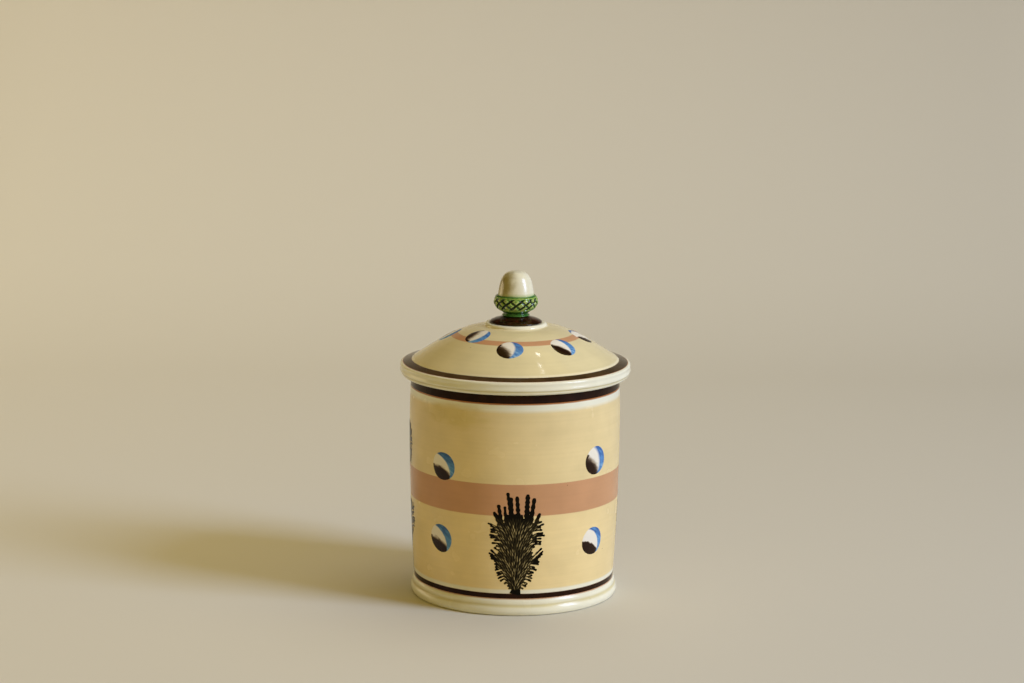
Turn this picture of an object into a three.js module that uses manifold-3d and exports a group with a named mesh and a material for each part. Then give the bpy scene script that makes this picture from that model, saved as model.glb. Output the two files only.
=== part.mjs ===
// Lidded earthenware canister with slip bands, slip drops and an acorn knob.
// Millimetres, +Z up. The origin is the centre of the foot, on the surface it stands on.

import * as THREE from "three";
import { mergeVertices } from "three/addons/utils/BufferGeometryUtils.js";
import Module from "manifold-3d";

const wasm = await Module();
wasm.setup();

// Clearances
const joint = 0.3; // left between any two pieces that meet
const lidPlay = 1; // locating ring to mouth, all round

// Jar
const jarHeight = 137.6;
const jarWall = 5;
const jarFloor = 6;
const bellyRadius = 65; // widest place of the wall
const bellyBelowMouth = 29.6;
const baseTaper = 3.05; // wall in from the belly, at the foot
const mouthTaper = 0.95; // and at the mouth
const mouthRounding = 1.4;
const floorRounding = 6; // inside corner of floor and wall

// Foot of the jar
const footHeight = 10.3;
const footBeadOut = 2.15; // bead beyond the wall above it
const footBeadHeight = 6.6;
const footGrooveDepth = 1.4;
const footRecess = 2.5; // hollow under the floor
const footRingWidth = 7;

// Lid
const lidWall = 5.5;
const lidOverhang = 6.95; // rim beyond the mouth
const lidRimHeight = 8.15; // lip to shoulder
const lidLipInset = 2.6; // lip in from the rim
const lidLipDrop = 1.4; // lip below the seat
const lidLipHeight = 2.2; // lip to groove
const lidGrooveDepth = 0.65;
const shoulderInset = 1.4; // shoulder in from the rim
const shoulderWidth = 6.3;
const shoulderRise = 1.75;
const domeStep = 0.5; // dome edge above the shoulder
const domeRise = 20.2;
const domeEdgeSlope = 0.63;
const domeCrownSlope = 0.063;
const domeFullness = 16; // reach of the dome's curve at either end
const locatingDepth = 8;
const locatingWall = 4;

// Knob: seat on the lid, foot, cup and nut
const seatRadius = 19.1;
const seatHeight = 2;
const seatBevel = 2.3;
const knobFootRadius = 16.3;
const knobFootEdge = 0.5;
const knobFootHeight = 3.6;
const neckRadius = 7.62;
const neckFlare = 0.85;
const neckHeight = 2.1;
const cupRadius = 13.75;
const cupHeight = 10.5; // neck to lip
const cupBellyHeight = 6.6; // neck to the widest place
const cupLipWall = 0.6;
const socketDepth = 4.5;
const latticeCrossings = 14;
const latticeDepth = 0.6;
const nutRadius = 11.16;
const nutHeight = 15.1; // above the lip of the cup
const nutShoulder = 1.7; // straight part above the lip
const nutSideRise = 9.6; // pull of the side's curve, up
const nutSideLean = 0.85; // and inwards
const nutTipReach = 7.8; // pull of the tip's curve, outwards

// Slip bands, laid flush in turned grooves
const bandDepth = 1;
const footLineWidth = 3;
const middleBandHeight = 62.3;
const middleBandWidth = 19.2;
const rimBandWidth = 5.6;
const rimBandBelowMouth = 1.3;
const shoulderMargin = 0.55; // bare clay either side of the lid's edge band
const crownBandFromEdge = 23.4; // in from the edge of the dome
const crownBandWidth = 4.2;

// Slip drops, lying on the wall and the dome, placed by hand with some scatter
const dropThickness = 0.5;
const jarDropDiameter = 17.4;
const upperDropRise = 9; // centre above the middle band
const lowerDropFall = 19.5; // centre below it
const jarDropScatter = 1.5;
const lidDropDiameter = 16;
const lidDropOut = 2.2; // centre outside the middle of the crown band
const lidDropScatter = 8;

// Azimuths are degrees from the front (-Y) towards +X, strays are shares of the scatter
const upperDrops = [
  { azimuth: -41.3, stray: -1 },
  { azimuth: 49, stray: 1 },
  { azimuth: 137, stray: -0.3 },
  { azimuth: -133, stray: 0.3 },
];
const lowerDrops = [
  { azimuth: -44, stray: -0.6 },
  { azimuth: 48.5, stray: 0.6 },
  { azimuth: 138, stray: -0.2 },
  { azimuth: -135, stray: 0.1 },
];
const lidDrops = [
  { azimuth: -4.5, stray: 0.36 },
  { azimuth: 42, stray: 0.35 },
  { azimuth: 87.5, stray: -0.05 },
  { azimuth: 133, stray: 0.2 },
  { azimuth: 178, stray: -0.2 },
  { azimuth: -138, stray: 0.38 },
  { azimuth: -94, stray: 0.05 },
  { azimuth: -44.8, stray: -0.95 },
];

// Facets
const turnedSides = 48;
const nutSides = 32;
const dropSides = 20;
const skinSteps = 3;
const sidesPerCrossing = 4;
const weldDistance = 1e-3;

// Colours of clay and slip under the glaze
const cream = 0xd8cfae;
const yellow = 0xd6bb84;
const pink = 0xbd8a5f;
const brown = 0x2a1a0e;
const green = 0x6f8a3c;
const dropWhite = 0xd7d0b9;
const glazeRoughness = 0.18;

// Heights and radii that follow from the sizes above
const bellyHeight = jarHeight - bellyBelowMouth;
const baseRadius = bellyRadius - baseTaper;
const mouthRadius = bellyRadius - mouthTaper;
const footBeadRadius = baseRadius + footBeadOut;
const floorHeight = footRecess + jarFloor;
const footLineHeight = footHeight + joint;
const middleBandTop = middleBandHeight + middleBandWidth;
const rimBandTop = jarHeight - rimBandBelowMouth;
const lidSeatHeight = jarHeight + joint;
const lidRimRadius = mouthRadius + lidOverhang;
const lipHeight = lidSeatHeight - lidLipDrop;
const shoulderRadius = lidRimRadius - shoulderInset;
const shoulderHeight = lipHeight + lidRimHeight;
const domeRadius = shoulderRadius - shoulderWidth;
const domeEdgeHeight = shoulderHeight + shoulderRise + domeStep;
const crownHeight = domeEdgeHeight + domeRise;
const knobSeatHeight = crownHeight + seatHeight;
const knobFootBottom = knobSeatHeight + joint;
const neckBottom = knobFootBottom + knobFootHeight + joint;
const cupBottom = neckBottom + neckHeight;
const cupLipHeight = cupBottom + cupHeight;

const canister = new THREE.Group();

function addPiece(name, geometry, color) {
  const material = new THREE.MeshStandardMaterial({ color, roughness: glazeRoughness, metalness: 0 });
  const piece = new THREE.Mesh(geometry, material);
  piece.name = name;
  canister.add(piece);
}

function at(radius, height) {
  return new THREE.Vector2(radius, height);
}

// Points along a quadratic bow, without its first point
function bow(start, control, end, steps) {
  return new THREE.QuadraticBezierCurve(start, control, end).getPoints(steps).slice(1);
}

// Points along a surface of revolution given as height by radius, or radius by height
function along(place, start, end, steps) {
  return Array.from({ length: steps + 1 }, (_, i) => place(start + (end - start) * i / steps));
}

// A solid turned about Z from an outline that runs anticlockwise in radius and height
function turned(outline, sides) {
  return new THREE.LatheGeometry(outline, sides).rotateX(Math.PI / 2);
}

function solidOf(geometry) {
  geometry.deleteAttribute("normal");
  geometry.deleteAttribute("uv");
  const welded = mergeVertices(geometry, weldDistance);
  return new wasm.Manifold(new wasm.Mesh({
    numProp: 3,
    vertProperties: welded.attributes.position.array,
    triVerts: Uint32Array.from(welded.index.array),
  }));
}

function geometryOf(solid) {
  const mesh = solid.getMesh();
  const geometry = new THREE.BufferGeometry();
  geometry.setAttribute("position", new THREE.BufferAttribute(mesh.vertProperties, 3));
  geometry.setIndex(new THREE.BufferAttribute(mesh.triVerts, 1));
  geometry.computeVertexNormals();
  return geometry;
}

// Outside of the wall: a shallow parabola below and above the belly
function wallAt(height, proud = 0) {
  const endHeight = height < bellyHeight ? footHeight : jarHeight;
  const endRadius = height < bellyHeight ? baseRadius : mouthRadius;
  const share = (height - bellyHeight) / (endHeight - bellyHeight);
  return at(bellyRadius - (bellyRadius - endRadius) * share ** 2 + proud, height);
}

// Slip bands on the wall
const wallBands = [
  { name: "jar_foot_line", bottom: footLineHeight, top: footLineHeight + footLineWidth, color: brown },
  { name: "jar_middle_band", bottom: middleBandHeight, top: middleBandTop, color: pink },
  { name: "jar_rim_band", bottom: rimBandTop - rimBandWidth, top: rimBandTop, color: brown },
];

function wallGroove({ bottom, top }) {
  const low = bottom - joint;
  const high = top + joint;
  const floor = -bandDepth - joint;
  return [wallAt(low), wallAt(low, floor), wallAt(high, floor), wallAt(high)];
}

function wallBand({ bottom, top }) {
  const face = along((height) => wallAt(height), bottom, top, 2);
  const back = along((height) => wallAt(height, -bandDepth), top, bottom, 1);
  return turned([...face, ...back, face[0]], turnedSides);
}

// Jar body: foot, wall with its grooves, mouth and inside
function footOutline() {
  const outer = footBeadRadius - footGrooveDepth;
  const inner = outer - footRingWidth;
  const groove = at(outer, footBeadHeight);
  const bead = bow(at(outer, 0), at(footBeadRadius + footGrooveDepth, footBeadHeight / 2), groove, 5);
  return [at(0, footRecess), at(inner, footRecess), at(inner, 0), at(outer, 0), ...bead];
}

function jarInsideOutline() {
  const mouth = at(mouthRadius - jarWall, jarHeight);
  const mouthEdge = at(mouth.x + mouthRounding, jarHeight);
  const throat = at(mouth.x, jarHeight - mouthRounding);
  const corner = at(baseRadius - jarWall, floorHeight);
  const wallFoot = at(corner.x, floorHeight + floorRounding);
  const floorEdge = at(corner.x - floorRounding, floorHeight);
  return [
    mouthEdge,
    ...bow(mouthEdge, mouth, throat, 2),
    wallAt(bellyHeight, -jarWall),
    wallFoot,
    ...bow(wallFoot, corner, floorEdge, 3),
    at(0, floorHeight),
  ];
}

function jarOutline() {
  const [footLine, middleBand, rimBand] = wallBands.map(wallGroove);
  const lowerField = along((height) => wallAt(height), footLine[3].y, middleBand[0].y, 3).slice(1, -1);
  const upperField = along((height) => wallAt(height), middleBand[3].y, rimBand[0].y, 4).slice(1, -1);
  const mouthEdge = at(mouthRadius - mouthRounding, jarHeight);
  return [
    ...footOutline(),
    ...footLine,
    ...lowerField,
    ...middleBand,
    ...upperField,
    ...rimBand,
    mouthEdge,
    ...jarInsideOutline(),
  ];
}

// Lid: the shoulder is a cone, the dome a curve from its edge to the crown
const domeCurve = new THREE.CubicBezierCurve(
  at(domeRadius, domeEdgeHeight),
  at(domeRadius - domeFullness, domeEdgeHeight + domeFullness * domeEdgeSlope),
  at(seatRadius + domeFullness, crownHeight - domeFullness * domeCrownSlope),
  at(seatRadius, crownHeight),
);

function shoulderAt(radius, proud = 0) {
  const share = (shoulderRadius - radius) / (shoulderRadius - domeRadius);
  return at(radius, shoulderHeight + shoulderRise * share + proud);
}

// The curve runs inwards, so its radius falls steadily along it
function domeAt(radius, proud = 0) {
  let near = 0;
  let far = 1;
  for (let i = 0; i < 30; i += 1) {
    const middle = (near + far) / 2;
    if (domeCurve.getPoint(middle).x > radius) near = middle;
    else far = middle;
  }
  return at(radius, domeCurve.getPoint(near).y + proud);
}

function lidGroove(surface, outer, inner) {
  const floor = -bandDepth - joint;
  const wide = outer + joint;
  const narrow = inner - joint;
  return [surface(wide), surface(wide, floor), surface(narrow, floor), surface(narrow)];
}

function lidBand(surface, outer, inner) {
  const face = along((radius) => surface(radius), outer, inner, 2);
  const back = along((radius) => surface(radius, -bandDepth), inner, outer, 1);
  return turned([...face, ...back, face[0]], turnedSides);
}

const edgeBandOuter = shoulderRadius - shoulderMargin;
const edgeBandInner = domeRadius + shoulderMargin;
const crownBandOuter = domeRadius - crownBandFromEdge;
const crownBandInner = crownBandOuter - crownBandWidth;

function lidUnderside() {
  const ringOuter = mouthRadius - jarWall - lidPlay;
  const ringInner = ringOuter - locatingWall;
  const ringBottom = lidSeatHeight - locatingDepth;
  const hollow = along((radius) => domeAt(radius, -lidWall), seatRadius, ringInner, 5);
  return [
    at(0, crownHeight - lidWall),
    ...hollow,
    at(ringInner, ringBottom),
    at(ringOuter, ringBottom),
    at(ringOuter, lidSeatHeight),
    at(mouthRadius + joint, lidSeatHeight),
  ];
}

function lidRim() {
  const groove = at(lidRimRadius - lidGrooveDepth, lipHeight + lidLipHeight);
  const lip = at(lidRimRadius - lidLipInset, lipHeight);
  const shoulder = shoulderAt(shoulderRadius);
  const beadFront = at(2 * lidRimRadius - (groove.x + shoulder.x) / 2, (groove.y + shoulder.y) / 2);
  return [lip, ...bow(lip, at(groove.x, lip.y), groove, 2), ...bow(groove, beadFront, shoulder, 4)];
}

function lidOutline() {
  const edgeGroove = lidGroove(shoulderAt, edgeBandOuter, edgeBandInner);
  const crownGroove = lidGroove(domeAt, crownBandOuter, crownBandInner);
  return [
    ...lidUnderside(),
    ...lidRim(),
    ...edgeGroove,
    ...along((radius) => domeAt(radius), domeRadius, crownGroove[0].x, 5).slice(0, -1),
    ...crownGroove,
    ...along((radius) => domeAt(radius), crownGroove[3].x, seatRadius, 4).slice(1),
    at(seatRadius - seatBevel, knobSeatHeight),
    at(0, knobSeatHeight),
  ];
}

// Knob foot: a low convex disc
function knobFootOutline() {
  const edge = at(knobFootRadius, knobFootBottom + knobFootEdge);
  const top = at(neckRadius + neckFlare, knobFootBottom + knobFootHeight);
  const swell = at((edge.x + top.x) / 2, top.y);
  return [at(0, knobFootBottom), at(edge.x, knobFootBottom), edge, ...bow(edge, swell, top, 4), at(0, top.y)];
}

// Acorn cup: a waisted neck, then a bowl with crossed grooves, and a socket for the nut
const socketRadius = nutRadius + joint;
const socketFloor = cupLipHeight - socketDepth;
const bowlSteps = 4;

function cupNeck() {
  const foot = at(neckRadius + neckFlare, neckBottom);
  const waist = at(neckRadius - neckFlare, neckBottom + neckHeight / 2);
  return [at(0, neckBottom), foot, ...bow(foot, waist, at(neckRadius + neckFlare, cupBottom), 3)];
}

function cupBowl() {
  const start = at(neckRadius + neckFlare, cupBottom);
  const belly = at(cupRadius, cupBottom + cupBellyHeight);
  const lip = at(socketRadius + cupLipWall, cupLipHeight);
  const lower = bow(start, at(cupRadius, cupBottom + neckHeight), belly, bowlSteps);
  return [...lower, ...bow(belly, at(cupRadius, (belly.y + lip.y) / 2), lip, bowlSteps)];
}

// Crossed grooves run along the bowl's own rows of points
function cutLattice(geometry, rows, firstRow) {
  const place = geometry.attributes.position;
  for (let i = 0; i < place.count; i += 1) {
    const side = Math.floor(i / rows);
    const row = (i % rows) - firstRow;
    const onGroove = (side + row) % sidesPerCrossing === 0 || (side - row) % sidesPerCrossing === 0;
    if (row > 0 && row < 2 * bowlSteps - 1 && onGroove) {
      const radius = Math.hypot(place.getX(i), place.getY(i));
      const share = (radius - latticeDepth) / radius;
      place.setXY(i, place.getX(i) * share, place.getY(i) * share);
    }
  }
  return geometry;
}

function acornCup() {
  const neck = cupNeck();
  const socket = [at(socketRadius, cupLipHeight), at(socketRadius, socketFloor), at(0, socketFloor)];
  const outline = [...neck, ...cupBowl(), ...socket];
  const geometry = turned(outline, latticeCrossings * sidesPerCrossing);
  return cutLattice(geometry, outline.length, neck.length - 1);
}

// Acorn nut: straight in its socket, then closing to a blunt tip
function nutOutline() {
  const bottom = socketFloor + joint;
  const shoulder = at(nutRadius, cupLipHeight + nutShoulder);
  const side = at(nutRadius - nutSideLean, shoulder.y + nutSideRise);
  const tip = at(0, cupLipHeight + nutHeight);
  const crown = new THREE.CubicBezierCurve(shoulder, side, at(nutTipReach, tip.y), tip);
  return [at(0, bottom), at(nutRadius, bottom), ...crown.getPoints(9)];
}

// A slip drop is a round of a thin skin that lies over the wall or the dome
function slipDrop(skin, place, outward, diameter) {
  const punch = new THREE.CylinderGeometry(diameter / 2, diameter / 2, diameter, dropSides);
  punch.applyQuaternion(new THREE.Quaternion().setFromUnitVectors(THREE.Object3D.DEFAULT_UP, outward));
  punch.translate(place.x, place.y, place.z);
  return geometryOf(solidOf(turned(skin, turnedSides)).intersect(solidOf(punch)));
}

function heading(azimuth, point) {
  const turn = THREE.MathUtils.degToRad(azimuth);
  return new THREE.Vector3(point.x * Math.sin(turn), -point.x * Math.cos(turn), point.y);
}

function skinOutline(surface, start, end) {
  const inner = along((place) => surface(place, joint), end, start, skinSteps);
  const outer = along((place) => surface(place, joint + dropThickness), start, end, skinSteps);
  return [...outer, ...inner, outer[0]];
}

function jarDrop(azimuth, height) {
  const skin = skinOutline(wallAt, height - jarDropDiameter, height + jarDropDiameter);
  return slipDrop(skin, heading(azimuth, wallAt(height)), heading(azimuth, at(1, 0)), jarDropDiameter);
}

function lidDrop(azimuth, radius) {
  const reach = lidDropDiameter / 2 + joint;
  const slope = domeAt(radius + reach).sub(domeAt(radius - reach));
  const outward = heading(azimuth, at(-slope.y, slope.x).normalize());
  const skin = skinOutline(domeAt, radius + reach, radius - reach);
  return slipDrop(skin, heading(azimuth, domeAt(radius)), outward, lidDropDiameter);
}

addPiece("jar_body", turned(jarOutline(), turnedSides), yellow);
for (const band of wallBands) {
  addPiece(band.name, wallBand(band), band.color);
}
upperDrops.forEach(({ azimuth, stray }, i) => {
  const height = middleBandTop + upperDropRise + stray * jarDropScatter;
  addPiece(`jar_drop_upper_${i + 1}`, jarDrop(azimuth, height), dropWhite);
});
lowerDrops.forEach(({ azimuth, stray }, i) => {
  const height = middleBandHeight - lowerDropFall - stray * jarDropScatter;
  addPiece(`jar_drop_lower_${i + 1}`, jarDrop(azimuth, height), dropWhite);
});

addPiece("lid_dome", turned(lidOutline(), turnedSides), yellow);
addPiece("lid_edge_band", lidBand(shoulderAt, edgeBandOuter, edgeBandInner), brown);
addPiece("lid_crown_band", lidBand(domeAt, crownBandOuter, crownBandInner), pink);
lidDrops.forEach(({ azimuth, stray }, i) => {
  const radius = (crownBandOuter + crownBandInner) / 2 + lidDropOut + stray * lidDropScatter;
  addPiece(`lid_drop_${i + 1}`, lidDrop(azimuth, radius), dropWhite);
});
addPiece("knob_foot", turned(knobFootOutline(), turnedSides), brown);
addPiece("acorn_cup", acornCup(), green);
addPiece("acorn_nut", turned(nutOutline(), nutSides), cream);

export default canister;
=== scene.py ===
import math
import random

import bmesh
import bpy
from mathutils import Matrix, Vector, kdtree


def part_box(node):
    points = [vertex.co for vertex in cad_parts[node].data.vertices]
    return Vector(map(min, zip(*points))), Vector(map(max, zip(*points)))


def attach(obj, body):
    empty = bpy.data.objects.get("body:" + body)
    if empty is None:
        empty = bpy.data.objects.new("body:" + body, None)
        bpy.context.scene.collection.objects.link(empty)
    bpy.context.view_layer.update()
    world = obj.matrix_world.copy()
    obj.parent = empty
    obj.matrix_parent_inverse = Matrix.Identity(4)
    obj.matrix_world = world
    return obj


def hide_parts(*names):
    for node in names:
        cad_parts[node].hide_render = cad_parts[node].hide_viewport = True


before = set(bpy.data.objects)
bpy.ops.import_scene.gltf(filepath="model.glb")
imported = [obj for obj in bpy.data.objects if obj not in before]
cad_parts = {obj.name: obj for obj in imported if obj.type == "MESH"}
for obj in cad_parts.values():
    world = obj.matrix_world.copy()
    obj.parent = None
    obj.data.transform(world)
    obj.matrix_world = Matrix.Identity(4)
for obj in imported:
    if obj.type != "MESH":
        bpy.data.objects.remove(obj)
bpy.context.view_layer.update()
scene = bpy.context.scene
scene.view_settings.view_transform = "Standard"
mm = 0.001
print("frame loaded:", len(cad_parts), "nodes")


# sizes taken from the frame, in millimetres
def span(node):
    low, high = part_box(node)
    return low / mm, high / mm


# points of a smooth line through a few key points, each (radius, height)
def flow(keys, steps=6):
    keys = [Vector(k) for k in keys]
    line = [keys[0]]
    for i in range(len(keys) - 1):
        before = keys[i - 1] if i else keys[i] * 2 - keys[i + 1]
        after = keys[i + 2] if i + 2 < len(keys) else keys[i + 1] * 2 - keys[i]
        for j in range(1, steps + 1):
            t = j / steps
            pull = (keys[i + 1] - before) * t
            pull += (before * 2 - keys[i] * 5 + keys[i + 1] * 4 - after) * t ** 2
            pull += (keys[i] * 3 - keys[i + 1] * 3 + after - before) * t ** 3
            line.append(keys[i] + pull * 0.5)
    return [(p.x, p.y) for p in line]


# a point of the curve that four points pull, as on a drawing board
def bend(pulls, t):
    weights = ((1 - t) ** 3, 3 * t * (1 - t) ** 2, 3 * t ** 2 * (1 - t), t ** 3)
    return sum((Vector(p) * w for p, w in zip(pulls, weights)), Vector((0, 0)))


# a turned solid: the outline is drawn in the XZ plane and spun about Z
def turn(outline, turns, closed=False):
    bm = bmesh.new()
    points = [bm.verts.new((radius * mm, 0, height * mm)) for radius, height in outline]
    for a, b in zip(points, points[1:]):
        bm.edges.new((a, b))
    if closed:
        bm.edges.new((points[-1], points[0]))
    bmesh.ops.spin(bm, geom=bm.verts[:] + bm.edges[:], cent=(0, 0, 0), axis=(0, 0, 1),
                   angle=2 * math.pi, steps=turns, use_merge=True)
    bmesh.ops.remove_doubles(bm, verts=bm.verts, dist=1e-6)
    bmesh.ops.recalc_face_normals(bm, faces=bm.faces)
    return bm


def addPiece(bm, name, body, materials, node=None, crease=50):
    mesh = bpy.data.meshes.new(name)
    bm.to_mesh(mesh)
    bm.free()
    mesh.shade_smooth()
    mesh.set_sharp_from_angle(angle=math.radians(crease))
    for material in materials:
        mesh.materials.append(material)
    piece = bpy.data.objects.new(name, mesh)
    scene.collection.objects.link(piece)
    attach(piece, body)
    if node:
        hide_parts(node)


# colours of the fired slips and glazes, with some used as painted light and shade: the paler yellow of the
# lower field, the paler brown of the lid's edge, and the honey and olive tones
hues = dict(
    yellow="#DECA96", bounceLitYellow="#E4CE97", domeYellow="#D8CCA0", cream="#E4E2CC", pale="#E2D8B4",
    pooled="#D2C99F", honey="#D0BC7C", pink="#C1926A", brown="#28140A", sheenBrown="#4A3821",
    bleed="#A0622E", white="#E3DED0", dropGrey="#A0937F", dropUmber="#4F4034",
    dropBrown="#24130A", blueDeep="#3A629E", blue="#588DC2", bluePale="#96BAD2",
    nutCream="#D9D6BE", olive="#8E824C",
)


# a hex colour, or the name of one in hues, as the renderer counts it
def linear(colour):
    hexColour = hues.get(colour, colour)
    channels = [int(hexColour[i:i + 2], 16) / 255 for i in (1, 3, 5)]
    return [c / 12.92 if c <= 0.04045 else ((c + 0.055) / 1.055) ** 2.4 for c in channels] + [1]


smooth = dict(interpolation_type="SMOOTHSTEP")      # for steps that ease in and out


# adds a node: each input takes a value, a socket, or a node that gives it its first output
def add(tree, kind, inputs=None, stops=(), **settings):
    node = tree.nodes.new("ShaderNode" + kind)
    for key, value in settings.items():
        setattr(node, key, value)
    for key, value in (inputs or {}).items():
        if isinstance(value, bpy.types.Node):
            value = next(socket for socket in value.outputs if socket.enabled)
        if isinstance(value, bpy.types.NodeSocket):
            tree.links.new(value, node.inputs[key])
        else:
            node.inputs[key].default_value = value
    for i, (place, colour) in enumerate(stops):
        element = node.color_ramp.elements[i] if i < 2 else node.color_ramp.elements.new(place)
        element.position = place
        element.color = linear(colour)
    return node


def newMaterial(name):
    material = bpy.data.materials.new(name)
    material.use_nodes = True
    tree = material.node_tree
    tree.nodes.clear()
    return material, tree


# camera at the photograph's viewing angle
view = dict(
    imageWidth=1024, focal=2600,          # pixels
    stand=(0, -1.575, 0.441),             # metres
    pitch=10.23, yaw=-0.08, roll=0.51,    # degrees
)
camera = bpy.data.objects.new("camera", bpy.data.cameras.new("camera"))
camera.data.sensor_fit = "HORIZONTAL"
camera.data.lens = camera.data.sensor_width * view["focal"] / view["imageWidth"]
pitch, yaw = math.radians(view["pitch"]), math.radians(view["yaw"])
forward = Vector((math.sin(yaw) * math.cos(pitch), math.cos(yaw) * math.cos(pitch), -math.sin(pitch)))
camera.rotation_mode = "QUATERNION"
aim = forward.to_track_quat("-Z", "Y").to_matrix()
camera.rotation_quaternion = (aim @ Matrix.Rotation(math.radians(view["roll"]), 3, "Z")).to_quaternion()
camera.location = view["stand"]
scene.collection.objects.link(camera)
scene.camera = camera
print("camera set, lens", round(camera.data.lens, 1), "mm")


# what fired slip and glaze show, sizes in millimetres
fired = dict(
    swellWidth=16, poreWidth=1.4, poreDepth=0.04,     # the skin's slow swell, and its pores
    edgeDrift=11,                                     # how far apart the edge of a slip field wavers
    ringStretch=(6, 6, 700), ringShare=0.28,          # wheel rings about 1.4 apart, and how much they tell
    cloudRange=(0.37, 0.91),
    speckPitch=17, speckEdge=(0.012, 0.03), speckStrength=0.6, speckHue="#6B4A22",
    patchDrift=2.2, patchEdge=(0.8, 1.6),
)


# a glazed surface: gloss that varies a little, over a skin that is never quite flat
def glaze(tree, colour, gloss=0.12, swell=0.16, ior=1.5, pores=0.12):
    place = add(tree, "TexCoord").outputs["Object"]
    slow = add(tree, "TexNoise", {"Scale": 1 / (fired["swellWidth"] * mm), "Detail": 2, "Vector": place})
    fine = add(tree, "TexNoise", {"Scale": 1 / (fired["poreWidth"] * mm), "Detail": 1, "Vector": place})
    rough = add(tree, "MapRange", {"From Min": 0.3, "From Max": 0.7, "To Min": gloss * 0.8,
                                   "To Max": gloss * 1.3, "Value": slow})
    skin = add(tree, "Bump", {"Strength": 0.5, "Distance": swell * mm, "Height": slow})
    grain = add(tree, "Bump", {"Strength": pores, "Distance": fired["poreDepth"] * mm, "Height": fine,
                               "Normal": skin})
    shader = add(tree, "BsdfPrincipled", {"IOR": ior, "Base Color": colour, "Roughness": rough,
                                          "Normal": grain})
    add(tree, "OutputMaterial", {"Surface": shader})


# slip zones laid on the wheel: a colour for each height or radius, with edges that waver a little
def zones(tree, stops, across, waver=0.35):
    place = add(tree, "TexCoord").outputs["Object"]
    drift = add(tree, "TexNoise", {"Scale": 1 / (fired["edgeDrift"] * mm), "Detail": 2, "Vector": place})
    stray = add(tree, "Math", {0: drift, 1: waver * mm, 2: -waver * mm / 2}, operation="MULTIPLY_ADD")
    if across == "height":
        where = add(tree, "SeparateXYZ", {"Vector": place}).outputs["Z"]
    else:
        flat = add(tree, "VectorMath", {0: place, 1: (1, 1, 0)}, operation="MULTIPLY")
        where = add(tree, "VectorMath", {0: flat}, operation="LENGTH")
    strayed = add(tree, "Math", {0: where, 1: stray}, operation="ADD")
    first, last = stops[0][0], stops[-1][0]
    share = add(tree, "MapRange", {"From Min": first * mm, "From Max": last * mm, "Value": strayed})
    return add(tree, "ValToRGB", {"Fac": share},
               stops=[((where - first) / (last - first), colour) for where, colour in stops])


# slip is never one even colour: cloudy patches, faint rings from the wheel, a few iron specks
def clouded(tree, colour, patch=24, depth=0.10, specks=True):
    place = add(tree, "TexCoord").outputs["Object"]
    cloud = add(tree, "TexNoise", {"Scale": 1 / (patch * mm), "Detail": 4, "Vector": place})
    ringed = add(tree, "Mapping", {"Scale": fired["ringStretch"], "Vector": place})
    rings = add(tree, "TexNoise", {"Scale": 1, "Detail": 2, "Vector": ringed})
    both = add(tree, "Math", {0: rings, 1: fired["ringShare"], 2: cloud}, operation="MULTIPLY_ADD")
    low, high = fired["cloudRange"]
    tone = add(tree, "MapRange", {"From Min": low, "From Max": high, "To Min": 1 - depth,
                                  "To Max": 1 + depth * 0.6, "Value": both})
    base = linear(colour)[:3] if isinstance(colour, str) else colour
    toned = add(tree, "VectorMath", {0: base, "Scale": tone}, operation="SCALE")
    if not specks:
        return toned
    cell = add(tree, "TexVoronoi", {"Scale": 1 / (fired["speckPitch"] * mm), "Vector": place})
    inner, outer = fired["speckEdge"]
    speck = add(tree, "MapRange", {"From Min": inner, "From Max": outer, "To Min": fired["speckStrength"],
                                   "To Max": 0, "Value": cell}, **smooth)
    return add(tree, "Mix", {"B": linear(fired["speckHue"]), "Factor": speck, "A": toned}, data_type="RGBA")


# a patch of painted shade: the colour is mixed towards a darker hue, with an edge that wanders
def paintedShadePatch(tree, colour, middle, reach, hue, amount):
    place = add(tree, "TexCoord").outputs["Object"]
    near = add(tree, "Mapping", {"Location": [v * mm for v in middle], "Scale": [v * mm for v in reach],
                                 "Vector": place}, vector_type="TEXTURE")
    far = add(tree, "VectorMath", {0: near}, operation="LENGTH")
    drift = add(tree, "TexNoise", {"Scale": fired["patchDrift"], "Detail": 3, "Vector": near})
    strayed = add(tree, "Math", {0: far, 1: drift}, operation="ADD")
    inner, outer = fired["patchEdge"]
    part = add(tree, "MapRange", {"From Min": inner, "From Max": outer, "To Min": amount, "To Max": 0,
                                  "Value": strayed}, **smooth)
    return add(tree, "Mix", {"B": linear(hue), "Factor": part, "A": colour}, data_type="RGBA")


# cream earthenware under clear lead glaze: ivory, a little cloudy, with faint wheel rings
creamware, tree = newMaterial("creamware_clear_glaze")
glaze(tree, clouded(tree, "cream", patch=30, depth=0.06, specks=False), gloss=0.24, ior=1.42)

# dark brown slip: nearly black, warmer where it is thin
brownSlip, tree = newMaterial("dark_brown_slip_glazed")
glaze(tree, clouded(tree, "brown", patch=9, depth=0.45, specks=False), gloss=0.16, ior=1.19)

# the same slip painted paler and olive on the lid's edge band: painted reflection, the sheen the up-facing
# band takes from the room
sheenBrownSlip, tree = newMaterial("brown_slip_painted_sheen")
glaze(tree, clouded(tree, "sheenBrown", patch=9, depth=0.45, specks=False), gloss=0.16, ior=1.19)

# terracotta pink slip: matt colour under gloss, with faint wheel rings
pinkSlip, tree = newMaterial("pink_slip_glazed")
glaze(tree, clouded(tree, "pink", patch=18, depth=0.08), gloss=0.2, ior=1.36)
print("glazes mixed")

# how a band of slip lies in its turned groove, in millimetres
bandFit = dict(depth=0.5, seam=0.02, proud=0.012, round=0.4)

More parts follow.
